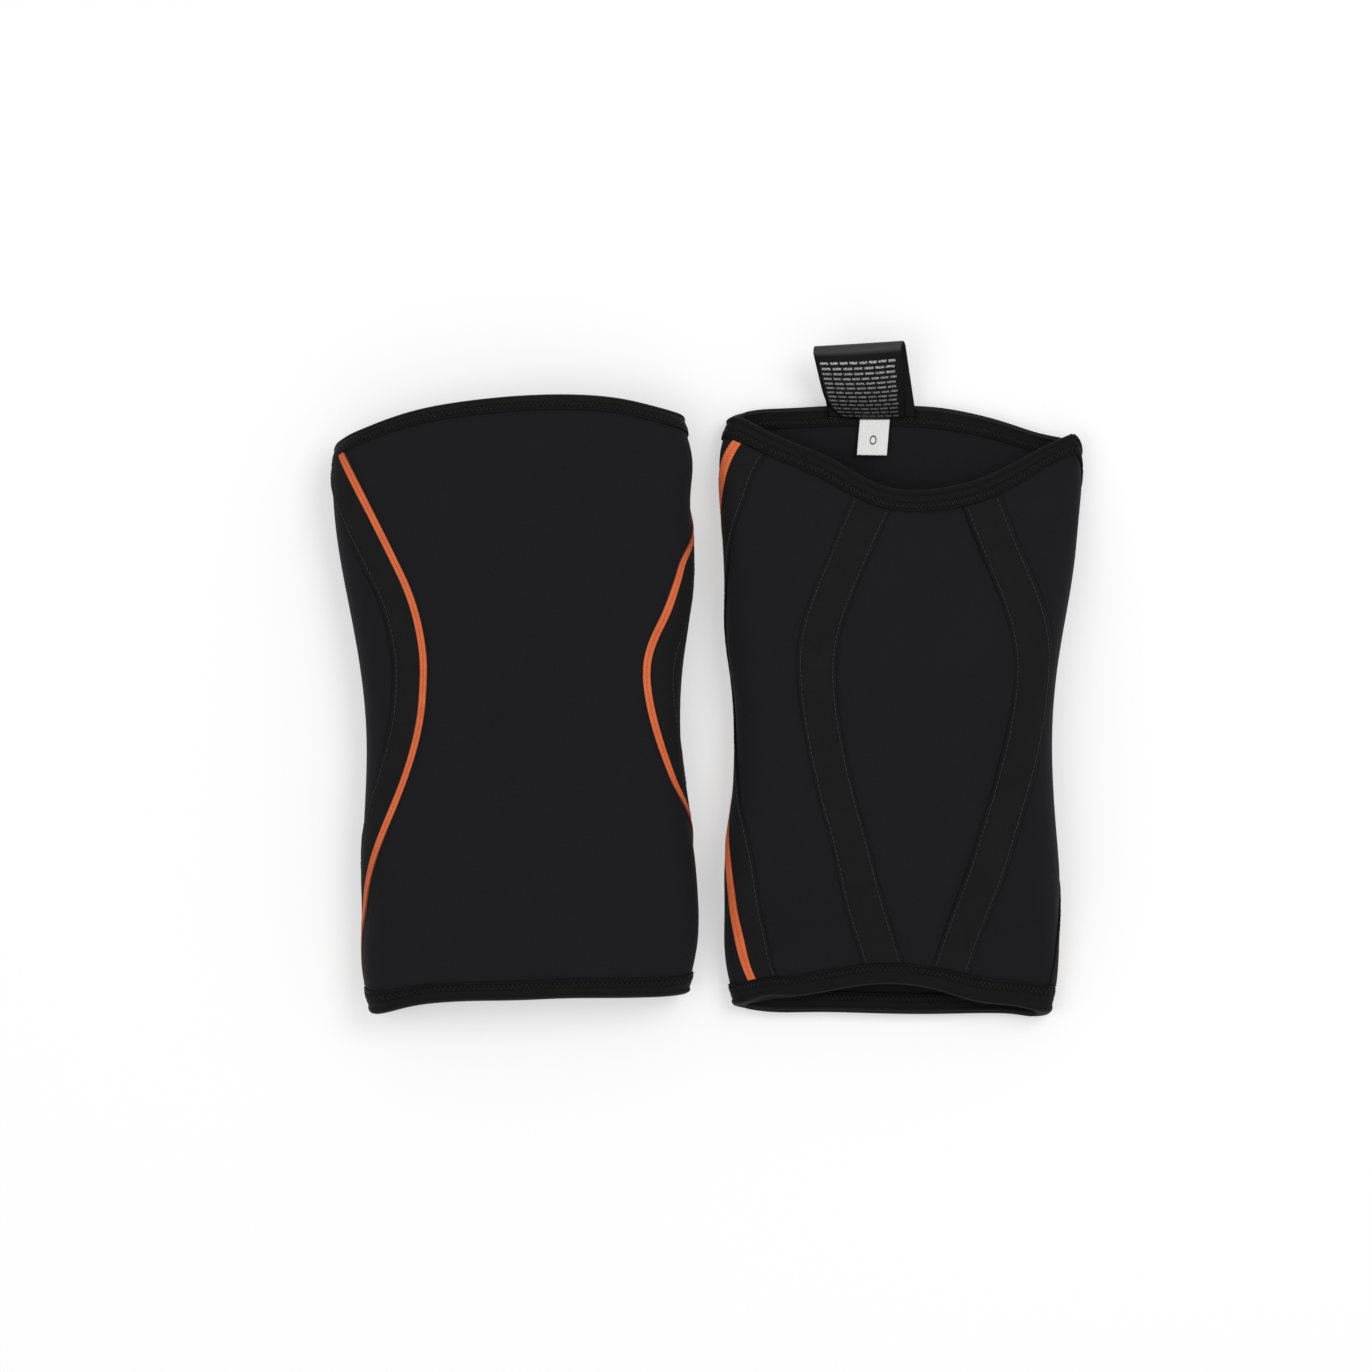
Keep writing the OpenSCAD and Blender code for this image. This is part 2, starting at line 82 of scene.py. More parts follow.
RIGHT = SimpleNamespace(
    name="right", x=0.093915, y=-0.0237487, turn=math.radians(-1.2),
    roll=0.0145, twist=0.0, over=1, mood=2.1,
    press=(0.009, 0.009), droop=0.0, draw=(0.0, 0.0),
    slips=[
        (0.105, 0.080, 0.040, -0.0062), (0.095, 0.105, 0.085, 0.0020),
    ],
    lifts=[
        (0.030, -0.163, 0.0, 0.0038, 0.012), (0.086, -0.153, 0.0, 0.0022, 0.024),
        (0.136, -0.160, 0.0, -0.0048, 0.020), (0.016, 0.112, 0.0, 0.0036, 0.020),
        (0.040, 0.108, 0.0, 0.0037, 0.024), (0.064, 0.102, 0.0, 0.0060, 0.024),
        (0.088, 0.095, 0.0, -0.0015, 0.024), (0.112, 0.091, 0.0, 0.0016, 0.024),
        (0.136, 0.093, 0.0, 0.0017, 0.024), (0.158, 0.098, 0.0, 0.0048, 0.024),
        (0.182, 0.098, 0.0, 0.0107, 0.022), (0.185, 0.119, 0.0, 0.0030, 0.010),
        (0.018, 0.112, -0.0022, 0.0, 0.016),
    ],
    tugs=[
        (0.185, 0.120, 0.0032, 0.0040, 0.014), (0.187, 0.100, 0.0018, 0.0, 0.022),
        (0.150, 0.126, 0.0, 0.0016, 0.030), (0.116, 0.137, 0.0, 0.0011, 0.022),
        (0.006, 0.079, 0.0016, 0.0, 0.026), (0.008, 0.052, 0.0008, 0.0, 0.020),
        (0.012, 0.015, -0.0024, 0.0, 0.026), (0.011, -0.060, 0.0016, 0.0, 0.022),
        (0.009, -0.117, 0.0011, 0.0, 0.022), (0.010, -0.160, 0.0022, 0.0, 0.020),
        (0.030, -0.167, 0.0, -0.0018, 0.022), (0.095, -0.170, 0.0, -0.0014, 0.060),
        (0.160, -0.169, 0.0, -0.0020, 0.020), (0.176, -0.103, 0.0010, 0.0, 0.024),
        (0.174, -0.155, 0.0012, 0.0, 0.018), (0.174, -0.168, 0.0014, -0.0022, 0.014),
        (0.014, 0.128, 0.0030, 0.0, 0.014), (0.014, 0.126, 0.0, 0.0042, 0.024),
        (0.1660, -0.1675, 0.0, -0.0024, 0.010),
    ],
)

side_length = 0.287
calf_w, waist_w, thigh_w = 0.168, 0.158, 0.181
lower_edge_w, upper_edge_w = 0.156, 0.174
calf_t, waist_t, thigh_t = 0.058, 0.140, 0.263
front_rise, back_dip, bottom_arch = 0.017, 0.027, 0.014
wall, fold_r, crown, stack = 0.005, 0.016, 0.003, 0.0018
twist_length, press_length, slip_reach = 0.060, 0.075, 0.040
droop_length, draw_length = 0.016, 0.0105
upper_from, upper_rise = 0.009, 0.006
panel_inset = 0.001


def mix(a, b, u):
    return a + (b - a) * u


def ease(u):
    return (1 - np.cos(np.pi * np.clip(u, 0, 1))) / 2


def half_width(t):
    calf = mix(calf_w, lower_edge_w, np.clip(1 - t / calf_t, 0, 1) ** 4)
    knee = mix(calf_w, waist_w, ease((t - calf_t) / (waist_t - calf_t)))
    thigh = mix(waist_w, thigh_w, ease((t - waist_t) / (thigh_t - waist_t)))
    edge = mix(thigh_w, upper_edge_w, np.clip((t - thigh_t) / (side_length - thigh_t), 0, 1) ** 2)
    return np.select([t < calf_t, t < waist_t, t < thigh_t], [calf, knee, thigh], edge) / 2


def half_round(t):
    return 2 * (half_width(t) - fold_r) + math.pi * fold_r


def lower_edge(angle):
    return bottom_arch * ((1 - np.cos(angle)) / 2) ** 2


def length_at(angle):
    turned = np.cos(angle)
    upper = side_length + turned * (front_rise + back_dip) / 2 + turned**2 * (front_rise - back_dip) / 2
    return upper - lower_edge(angle)


# The seams, each as the way round the leg from the middle of the front at the height t.
front_knee_t, front_foot_t, back_knee_t = 0.160, 0.023, 0.180
front_seam_top, front_seam_knee, front_seam_bottom, front_bend = 0.110, 0.062, 0.1035, 0.0095
back_seam_top, back_seam_knee, back_seam_bottom, back_bend = 0.0235, 0.054, 0.0135, 0.014
trim_w, front_tape_w, back_tape_w = 0.0045, 0.0125, 0.019
seam_gap, stitch_inset = 0.0003, 0.0016


def bent(u, rise, bend):
    reach = math.sqrt((abs(rise) + bend) ** 2 - bend**2)
    return math.copysign(1, rise) * (np.sqrt(bend**2 + (u * reach) ** 2) - bend)


def front_seam(t):
    down = ease((t - front_foot_t) / (front_knee_t - front_foot_t))
    below = mix(front_seam_bottom, front_seam_knee, down)
    up = (t - front_knee_t) / (side_length - front_knee_t)
    above = front_seam_knee + bent(up, front_seam_top - front_seam_knee, front_bend)
    return np.where(t < front_knee_t, below, above)


def back_seam(t):
    down, up = (back_knee_t - t) / back_knee_t, (t - back_knee_t) / (side_length - back_knee_t)
    below = bent(down, back_seam_bottom - back_seam_knee, back_bend)
    above = bent(up, back_seam_top - back_seam_knee, back_bend)
    return half_round(t) - back_seam_knee - np.where(t < back_knee_t, below, above)


def trim_near(t):
    return front_seam(t) - (trim_w + seam_gap + front_tape_w) / 2


def front_stitch(t):
    return trim_near(t) + trim_w + seam_gap + front_tape_w - stitch_inset


def back_stitch_near(t):
    return back_seam(t) - back_tape_w / 2 + stitch_inset


def back_stitch_far(t):
    return back_seam(t) + back_tape_w / 2 - stitch_inset


# How far the soft wall stands off its smooth shape: slow swells, and a pinched line at each row of
# stitches that runs up the leg, uneven from stitch to stitch.
short_swell, long_swell, pinch_depth, pinch_w = 0.00045, 0.00040, 0.00022, 0.0024


def swell(sleeve, c, t):
    m = sleeve.mood
    off = short_swell * np.sin(t / 0.017 + 1.7 * m) * np.cos(c / 0.021 + m)
    off = off + long_swell * np.sin(t / 0.031 - c / 0.026 + 2.3 * m)
    for line in (front_stitch, back_stitch_near, back_stitch_far):
        gap = np.abs(c) - line(t)
        pinch = 1 + 0.45 * np.sin(t / 0.0011 + 3 * np.sign(c) + m) + 0.3 * np.sin(t / 0.0029 + m)
        off = off - pinch_depth * pinch * np.exp(-((gap / pinch_w) ** 2))
    return off


def fold_at(sleeve, t):
    lower, upper = ease(1 - t / press_length), ease(1 - (side_length - t) / press_length)
    return fold_r - sleeve.press[0] * lower - sleeve.press[1] * upper


def lie(sleeve, c, t, d):
    """The place of a point of the lying sleeve: c round the leg, t up it and d out from its face."""
    c, t, d = np.broadcast_arrays(*(np.asarray(v, float) for v in (c, t, d)))
    half = half_round(t)
    angle = math.pi * c / half
    twisted = sleeve.twist * ease((t - back_knee_t) / twist_length + 0.5)
    way = c + sleeve.roll + twisted + sleeve.over * half
    for middle, first, last, far in sleeve.slips:
        near = np.exp(-(((np.mod(c + half, 2 * half) - half - middle) / slip_reach) ** 2))
        way = way + far * ease((t - first) / (last - first)) * near
    # The way from the middle of the upper face, on the side that the point lies on.
    side = np.where(np.abs(way) > half, -np.sign(way), np.sign(way))
    m = np.where(np.abs(way) > half, 2 * half - np.abs(way), np.abs(way))
    d = d + swell(sleeve, c, t) * np.cos(math.pi / 2 * m / half) ** 2
    # A pressed fold has a smaller radius, so it takes up less of the way round.
    r = fold_at(sleeve, t)
    shrink = (fold_r - r) * (math.pi / 2 - 1)
    off = m - half / 2
    m = half / 2 - shrink + off - shrink * np.clip(off / press_length, -1, 1)
    flat = half_width(t) - r
    round_fold = (m - flat) / r
    on = [m < flat, m < flat + math.pi * r]
    x = side * np.select(on, [m, flat + (r + d) * np.sin(round_fold)], half - 2 * shrink - m)
    arch = crown + 0.5 * (fold_r - r)
    upper = 2 * r + arch * np.cos(math.pi / 2 * m / flat) ** 2
    face = np.select(on, [upper, r * (1 + np.cos(round_fold))], 0)
    z = face + d * np.select(on, [1, np.cos(round_fold)], -1) + stack
    y = lower_edge(angle) + t / side_length * length_at(angle) - side_length / 2
    edge = np.minimum(t, side_length - t) * length_at(angle) / side_length
    on_top = np.clip(face / (2 * r), 0, 1)
    z = z - sleeve.droop * np.clip(1 - edge / droop_length, 0, 1) ** 2 * on_top
    draw = np.where(t < side_length / 2, -sleeve.draw[0], sleeve.draw[1])
    y = y + draw * edge / draw_length * np.exp(1 - edge / draw_length) * on_top
    return place(sleeve, x, y, z)


def place(sleeve, x, y, z):
    """A point of the sleeve's own frame put on the table, with the tugs and lifts."""
    across, along = math.cos(sleeve.turn), math.sin(sleeve.turn)
    x, y = sleeve.x + x * across - y * along, sleeve.y + x * along + y * across
    on_top = np.clip((z - upper_from) / upper_rise, 0, 1)
    along = across = 0 * x
    for hold, pulls in ((1, sleeve.tugs), (on_top, sleeve.lifts)):
        for px, py, dx, dy, reach in pulls:
            pull = hold * np.exp(-((x - px) ** 2 + (y - py) ** 2) / reach**2)
            across, along = across + dx * pull, along + dy * pull
    return np.stack([x + across, y + along, z + 0 * x], axis=-1)


def thicken(bm):
    """A flat grid gets a second face, 1 above it, and the walls between the two."""
    raised = bmesh.ops.extrude_face_region(bm, geom=bm.faces[:])["geom"]
    raised = [g for g in raised if isinstance(g, bmesh.types.BMVert)]
    bmesh.ops.translate(bm, vec=(0, 0, 1), verts=raised)


def cut_cloth(sleeve, near, far, columns, rows, inset, faces, rim=0.0, strip_w=0.0):
    """A piece of cloth between two lines up the leg, with its thickness and its weave laid along it."""
    bm = bmesh.new()
    bmesh.ops.create_grid(bm, x_segments=columns, y_segments=rows, size=0.5)
    thicken(bm)
    bmesh.ops.recalc_face_normals(bm, faces=bm.faces)
    rims = [e for e in bm.edges if e.calc_face_angle(0) > 1]
    bm.verts.index_update()
    u, v, w = np.array([p.co for p in bm.verts]).T
    u, v = u + 0.5, v + 0.5
    top = side_length
    low = inset * top / length_at(math.pi * mix(near(0.0), far(0.0), u) / half_round(0.0))
    high = top - inset * top / length_at(math.pi * mix(near(top), far(top), u) / half_round(top))
    t = mix(low, high, v)
    c = mix(near(t), far(t), u)
    under, over = faces
    for p, spot in zip(bm.verts, lie(sleeve, c, t, mix(under, over(u), w))):
        p.co = spot
    weave = bm.loops.layers.uv.new("weave")
    side = (u - 0.5) * strip_w if strip_w else c
    up = t * length_at(math.pi * c / half_round(t)) / top
    for face in bm.faces:
        for corner in face.loops:
            corner[weave].uv = (side[corner.vert.index], up[corner.vert.index])
    if rim:
        bmesh.ops.bevel(
            bm, geom=rims, offset=rim, segments=2, profile=0.5, affect="EDGES", material=-1
        )
    return bm


def make_piece(bm, node, ending, finish):
    bmesh.ops.recalc_face_normals(bm, faces=bm.faces)
    for face in bm.faces:
        face.smooth = True
    mesh = bpy.data.meshes.new(f"{node}_{ending}")
    bm.to_mesh(mesh)
    bm.free()
    mesh.materials.append(finish)
    piece = bpy.data.objects.new(mesh.name, mesh)
    bpy.context.scene.collection.objects.link(piece)
    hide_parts(node)
    return piece


def bend_at_knee(piece):
    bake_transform(piece)


def new_finish(name, roughness, specular, sheen=0.0):
    material = bpy.data.materials.new(name)
    material.use_nodes = True
    shader = material.node_tree.nodes["Principled BSDF"]
    shader.inputs["Roughness"].default_value = roughness
    shader.inputs["Specular IOR Level"].default_value = specular
    shader.inputs["Sheen Weight"].default_value = sheen
    shader.inputs["Sheen Roughness"].default_value = 0.5
    return material, shader


def add(material, kind, inputs, **settings):
    """A node of a finish. Each input is a number, a colour or another node's output."""
    node = material.node_tree.nodes.new(kind)
    for key, value in settings.items():
        setattr(node, key, value)
    for key, value in inputs.items():
        if isinstance(value, bpy.types.NodeSocket):
            material.node_tree.links.new(value, node.inputs[key])
        else:
            node.inputs[key].default_value = value
    return node


def maths(material, operation, *values):
    return add(material, "ShaderNodeMath", dict(enumerate(values)), operation=operation).outputs[0]


def waves(material, value, length):
    """A wave along the value, from -1 to 1 and back in each length."""
    return maths(material, "SINE", maths(material, "MULTIPLY", value, 2 * math.pi / length))


def mix_colours(material, share, *shades):
    """Two shades, each a colour or another node's output, mixed by the share of the second one."""
    first, second = (v if isinstance(v, bpy.types.NodeSocket) else (*v, 1) for v in shades)
    node = add(material, "ShaderNodeMix", {0: share, 6: first, 7: second}, data_type="RGBA")
    return node.outputs[2]


def grade(material, value, first, last, start, end):
    """Goes from start to end while the value goes from first to last."""
    limits = {0: value, 1: first, 2: last, 3: start, 4: end}
    return add(material, "ShaderNodeMapRange", limits).outputs[0]


def speckle(material, spot, scale, detail, roughness):
    grain = {"Vector": spot, "Scale": scale, "Detail": detail, "Roughness": roughness}
    return add(material, "ShaderNodeTexNoise", grain).outputs[0]


def feed(material, shader, name, value):
    material.node_tree.links.new(value, shader.inputs[name])


def cloth_coordinates(material):
    """The weave's own map, the place in the object, and the ways across and up the weave."""
    coordinates = add(material, "ShaderNodeTexCoord", {})
    parts = add(material, "ShaderNodeSeparateXYZ", {0: coordinates.outputs["UV"]})
    return coordinates.outputs["UV"], coordinates.outputs["Object"], parts.outputs[0], parts.outputs[1]


def emboss(material, shader, height, depth, strength):
    bump = add(material, "ShaderNodeBump", {"Height": height, "Distance": depth, "Strength": strength})
    feed(material, shader, "Normal", bump.outputs[0])


# Jersey: columns of small V-shaped loops that run up the leg, a little paler where the cloth is
# rubbed, over a slow unevenness of the dye.
def jersey(name, dark, pale, specular):
    loop_w, loop_h = 0.00105, 0.00085
    material, shader = new_finish(name, roughness=0.82, specular=specular, sheen=0.03)
    _, spot, across, up = cloth_coordinates(material)
    lean = maths(material, "PINGPONG", maths(material, "DIVIDE", across, loop_w), 0.5)
    row = maths(material, "MULTIPLY_ADD", up, 1 / loop_h, maths(material, "MULTIPLY", lean, 1.3))
    loops, ribs = waves(material, row, 1), waves(material, lean, 1)
    knit = maths(material, "MULTIPLY_ADD", loops, 0.35, maths(material, "MULTIPLY", ribs, 0.65))
    dye = speckle(material, spot, scale=38.0, detail=4.0, roughness=0.6)
    fuzz = speckle(material, spot, scale=1500.0, detail=2.0, roughness=0.7)
    tone = maths(material, "MULTIPLY", fuzz, 0.35)
    tone = maths(material, "MULTIPLY_ADD", dye, 0.55, tone)
    tone = maths(material, "MULTIPLY_ADD", knit, 0.12, tone)
    feed(material, shader, "Base Color", mix_colours(material, tone, dark, pale))
    feed(material, shader, "Roughness", maths(material, "MULTIPLY_ADD", dye, 0.16, 0.74))
    height = maths(material, "MULTIPLY_ADD", fuzz, 0.5, knit)
    emboss(material, shader, height, depth=0.00012, strength=0.55)
    return material


neoprene = jersey("neoprene", (0.0046, 0.0046, 0.0057), (0.0138, 0.0138, 0.0160), 0.12)


def panel_face(u):
    return 0 * u


def cut_panel(sleeve, node, near, far, columns, rows):
    bm = cut_cloth(sleeve, near, far, columns, rows, panel_inset, (-wall, panel_face))
    piece = make_piece(bm, node, "cloth", neoprene)
    bend_at_knee(piece)


def sided(line, sign, gap=0.0):
    """A line up the leg on one side of it: sign is 1 towards the other sleeve and -1 away from it."""
    return lambda t: sign * (line(t) + gap)


for sleeve in (LEFT, RIGHT):
    cut_panel(
        sleeve, f"{sleeve.name}_front_panel",
        sided(front_seam, -1, -seam_gap / 2), sided(front_seam, 1, -seam_gap / 2),
        columns=104, rows=140,
    )


# ---- Side panels -----------------------------------------------------------------------------
# A crescent of the same neoprene on each side of the leg. Its hollow edge meets the front panel
# and its full edge the back one, so each side fold of the lying sleeve runs along it.

for sleeve in (LEFT, RIGHT):
    for side, sign in (("inner", 1), ("outer", -1)):
        cut_panel(
            sleeve, f"{sleeve.name}_{side}_side_panel",
            sided(front_seam, sign, seam_gap / 2), sided(back_seam, sign, -seam_gap / 2),
            columns=44, rows=140,
        )


# ---- Back panels -----------------------------------------------------------------------------
# An almond of the same neoprene in the hollow of the knee, widest at the bend and narrow at both
# ends. It is cut low at the thigh, which leaves the scooped upper edge.

for sleeve in (LEFT, RIGHT):
    cut_panel(
        sleeve, f"{sleeve.name}_back_panel",
        lambda t: back_seam(t) + seam_gap / 2,
        lambda t: 2 * half_round(t) - back_seam(t) - seam_gap / 2,
        columns=56, rows=124,
    )


# ---- Front tapes -----------------------------------------------------------------------------
# Black ribbed tape, 12.5 mm wide, covers the seam between the front panel and each side panel. It
# is laid over the seam after the tube is closed and held down by a row of stitches on its far edge.

tape_under, tape_over, tape_inset = 0.0003, 0.0010, 0.0108
tape_rim, tape_crown, strip_rows = 0.00022, 0.00012, 250
# The trims are sewn on unevenly, and this much of each shows beside its tape.
trim_shows = {
    "left outer": 0.0034, "left inner": 0.0039, "right outer": 0.0053, "right inner": 0.0053,
}


def tape_finish(name, dark, pale):
    rib_w, twill_w = 0.0011, 0.0007
    material, shader = new_finish(name, roughness=0.86, specular=0.14, sheen=0.02)
    _, spot, across, up = cloth_coordinates(material)
    ribs = waves(material, across, rib_w)
    twill = waves(material, maths(material, "MULTIPLY_ADD", across, 0.6, up), twill_w)
    weave = maths(material, "MULTIPLY_ADD", twill, 0.4, ribs)
    dye = speckle(material, spot, scale=70.0, detail=4.0, roughness=0.65)
    tone = maths(material, "MULTIPLY_ADD", weave, 0.10, dye)
    feed(material, shader, "Base Color", mix_colours(material, tone, dark, pale))
    feed(material, shader, "Roughness", maths(material, "MULTIPLY_ADD", dye, 0.18, 0.76))
    emboss(material, shader, weave, depth=0.00010, strength=0.6)
    return material


tape_cloth = tape_finish("ribbed_tape", (0.0046, 0.0046, 0.0045), (0.0122, 0.0122, 0.0120))


def tape_face(u):
    return tape_over + tape_crown * np.sin(math.pi * u)


def lay_strip(sleeve, node, near, far, strip_w, columns, face, finish, rim):
    faces = (tape_under, face)
    bm = cut_cloth(sleeve, near, far, columns, strip_rows, tape_inset, faces, rim, strip_w)
    piece = make_piece(bm, node, "strip", finish)
    bend_at_knee(piece)
    return piece


for sleeve in (LEFT, RIGHT):
    for side, sign in (("inner", 1), ("outer", -1)):
        lay_strip(
            sleeve, f"{sleeve.name}_{side}_front_tape",
            sided(trim_near, sign, (trim_w + trim_shows[f"{sleeve.name} {side}"]) / 2 + seam_gap),
            sided(trim_near, sign, trim_w + seam_gap + front_tape_w),
            front_tape_w, columns=14, face=tape_face, finish=tape_cloth, rim=tape_rim,
        )


# ---- Orange trims ----------------------------------------------------------------------------
# A narrow woven ribbon, about 4.5 mm wide, along the front edge of each front tape. Its two edges
# are toothed by the loops of the weave, and one row of stitches down its middle holds it.

trim_rim, trim_crown, trim_dent = 0.00020, 0.00010, 0.00018


def trim_finish():
    tooth, rib_w, cord_w = 0.0011, 0.00062, 0.00075
    material, shader = new_finish("orange_ribbon", roughness=0.70, specular=0.30, sheen=0.05)
    _, spot, across, up = cloth_coordinates(material)
    off_middle = maths(material, "DIVIDE", maths(material, "ABSOLUTE", across), trim_w / 2)
    teeth = maths(material, "PINGPONG", maths(material, "DIVIDE", up, tooth), 0.5)
    # Along its toothed edges the ribbon is darkened: the teeth are the weave's own loops, the dark
    # brown along them is painted shade.
    edge = maths(material, "MULTIPLY_ADD", teeth, 0.36, maths(material, "SUBTRACT", off_middle, 0.98))
    edge = grade(material, edge, -0.06, 0.06, 0.0, 1.0)
    weave = maths(material, "MULTIPLY", waves(material, up, rib_w), waves(material, across, cord_w))
    dye = speckle(material, spot, scale=160.0, detail=3.0, roughness=0.6)
    # Down the middle, where the stitches sink the ribbon, it is darker: painted shade.
    painted_middle_shade = maths(material, "SUBTRACT", 1.0, maths(material, "MINIMUM", off_middle, 1.0))
    painted_middle_shade = maths(material, "POWER", painted_middle_shade, 6.0)
    tone = maths(material, "MULTIPLY_ADD", weave, 0.16, dye)
    tone = maths(material, "MULTIPLY_ADD", painted_middle_shade, 0.18, tone)
    yarn = mix_colours(material, tone, (0.86, 0.195, 0.058), (0.62, 0.108, 0.032))
    feed(material, shader, "Base Color", mix_colours(material, edge, yarn, (0.30, 0.060, 0.026)))
    fall = maths(material, "MULTIPLY", edge, 1.2)
    height = maths(material, "SUBTRACT", maths(material, "MULTIPLY", weave, 0.5), fall)
    emboss(material, shader, height, depth=0.00012, strength=0.7)
    return material


orange_ribbon = trim_finish()


def trim_face(u):
    dent = trim_dent * np.exp(-(((u - 0.5) / 0.09) ** 2))
    return tape_over + trim_crown * np.sin(math.pi * u) - dent


for sleeve in (LEFT, RIGHT):
    for side, sign in (("inner", 1), ("outer", -1)):
        shows = trim_shows[f"{sleeve.name} {side}"]
        lay_strip(
            sleeve, f"{sleeve.name}_{side}_trim",
            sided(trim_near, sign, (trim_w - shows) / 2), sided(trim_near, sign, (trim_w + shows) / 2),
            trim_w, columns=12, face=trim_face, finish=orange_ribbon, rim=trim_rim,
        )


# ---- Back tapes ------------------------------------------------------------------------------
# The same ribbed tape, 19 mm wide, over the seams between the back panel and the side panels. A
# row of stitches along both of its edges holds it down.

for sleeve in (LEFT, RIGHT):
    for side, sign in (("inner", 1), ("outer", -1)):
        lay_strip(
            sleeve, f"{sleeve.name}_{side}_back_tape",
            sided(back_seam, sign, -back_tape_w / 2), sided(back_seam, sign, back_tape_w / 2),
            back_tape_w, columns=18, face=tape_face, finish=tape_cloth, rim=tape_rim,
        )


# ---- Stitching on the tapes and trims --------------------------------------------------------
# Rows of lockstitch in black thread along the tapes and in orange thread down the trims. Each
# stitch is one short bulge of thread that dips into the cloth at both of its holes.

thread_r, stitch_pitch, row_inset = 0.00021, 0.0025, 0.001
tape_thread_up, trim_thread_in = 0.00014, 0.00002


def thread_finish(name, dark, pale):
    material, shader = new_finish(name, roughness=0.55, specular=0.32)
    _, spot, _, _ = cloth_coordinates(material)
    twist = speckle(material, spot, scale=900.0, detail=2.0, roughness=0.6)
    feed(material, shader, "Base Color", mix_colours(material, twist, dark, pale))
    emboss(material, shader, twist, depth=0.00006, strength=0.6)
    return material


black_thread = thread_finish("black_thread", (0.016, 0.016, 0.017), (0.044, 0.044, 0.047))
hem_thread = thread_finish("hem_thread", (0.0042, 0.0042, 0.0047), (0.0118, 0.0118, 0.0128))
orange_thread = thread_finish("orange_thread", (0.46, 0.078, 0.022), (0.66, 0.118, 0.034))


def sew(starts, ends, outward):
    """Stitches from each start to its end. outward is the way up from the cloth at each start."""
    bm = bmesh.new()
    lying = Matrix.Translation((0.5, 0, 0)) @ Matrix.Rotation(math.pi / 2, 4, "Y")
    bmesh.ops.create_uvsphere(bm, u_segments=6, v_segments=4, radius=0.49, matrix=lying)
    stitch = bm.verts[:] + bm.edges[:] + bm.faces[:]
    bmesh.ops.spin(
        bm, geom=stitch, axis=(1, 0, 0), dvec=(1, 0, 0), angle=0, steps=len(starts) - 1,
        use_duplicate=True,
    )
    x, y, z = np.array([p.co for p in bm.verts]).T
    which = np.floor(x).astype(int)
    along = ends - starts
    across = np.cross(along, outward)
    up = np.cross(across, along)
    across, up = (2 * thread_r * v / np.linalg.norm(v, axis=1, keepdims=True) for v in (across, up))
    spots = starts[which] + along[which] * (x - which)[:, None]
    spots = spots + across[which] * y[:, None] + up[which] * z[:, None]
    for p, spot in zip(bm.verts, spots):
        p.co = spot
    return bm


def holes_up_the_leg(sleeve, line, height):
    inset, top = tape_inset + row_inset, side_length
    first = inset * top / length_at(math.pi * line(0.0) / half_round(0.0))
    last = top - inset * top / length_at(math.pi * line(top) / half_round(top))
    t = np.linspace(first, last, round((last - first) / stitch_pitch))
    return lie(sleeve, line(t), t, height)


def sew_lines(sleeve, lines, height):
    holes = [holes_up_the_leg(sleeve, line, height) for line in lines]
    above = [holes_up_the_leg(sleeve, line, height + 0.001) for line in lines]
    starts = np.concatenate([row[:-1] for row in holes])
    ends = np.concatenate([row[1:] for row in holes])
    return sew(starts, ends, np.concatenate([row[:-1] for row in above]) - starts)


for sleeve in (LEFT, RIGHT):
    edges = (front_stitch, back_stitch_near, back_stitch_far)
    tape_lines = [sided(line, sign) for sign in (1, -1) for line in edges]
    trim_lines = [sided(trim_near, sign, trim_w / 2) for sign in (1, -1)]
    for node, lines, height, thread, slot in (
        ("tape_stitching", tape_lines, tape_over + tape_thread_up, black_thread, "thread"),
        ("trim_stitching", trim_lines, tape_over - trim_thread_in, orange_thread, "trim_thread"),
    ):
        rows = sew_lines(sleeve, lines, height)
        bend_at_knee(make_piece(rows, f"{sleeve.name}_{node}", "rows", thread))


# ---- Bindings --------------------------------------------------------------------------------
# Smooth stretch binding folded over the thigh edge and the calf edge. It is turned in at the edge
# into a soft rolled rim, and sewn through near its inner edge so that it lies flat there.

rim_in, hem_stitch_in, zigzag_w = 0.0052, 0.00785, 0.003
zigzags = {0: 156, 1: 168}
hem_rings, rim_ripple, stitch_gather = 340, 0.00009, 0.00006
hems = ((1, "upper", "sleeve"), (0, "lower", "lower_hem"))

# The folded profile, each point as the way in from the edge and the height over the neoprene's face,
# and the points of its outer and its inner face with the place of the painted highlight along the
# rolled rim on each.
binding_profile = [
    (0.0105, 0.0003), (0.0105, 0.0009), (0.0101, 0.00105), (0.0093, 0.0010), (0.0079, 0.0007),
    (0.0065, 0.0010), (0.0056, 0.00112), (0.0044, 0.0010), (0.0034, 0.00092), (0.0028, 0.00125),
    (0.0021, 0.0016), (0.0013, 0.0016), (0.0006, 0.0012), (0.0001, 0.0004), (0.0, -0.0010),
    (0.0, -0.0040), (0.0001, -0.0054), (0.0006, -0.0062), (0.0013, -0.0066), (0.0021, -0.0066),
    (0.0028, -0.0063), (0.0034, -0.0059), (0.0056, -0.0061), (0.0079, -0.0057), (0.0101, -0.00605),
    (0.0105, -0.0059), (0.0105, -0.0053), (0.0050, -0.0053), (0.0007, -0.0053), (0.0007, 0.0003),
    (0.0050, 0.0003),
]
binding_faces = (((1, 15), 0.0001), ((17, 26), 0.0013))
profile_in = np.array([p[0] for p in binding_profile])
profile_way = np.concatenate([[0], np.cumsum(np.hypot(*np.diff(binding_profile, axis=0).T))])


def way_along(face, inset):
    """The way along the profile to a line on one of its faces, given as the way in from the edge."""
    first, last = face
    order = np.argsort(profile_in[first:last])
    return float(np.interp(inset, profile_in[first:last][order], profile_way[first:last][order]))


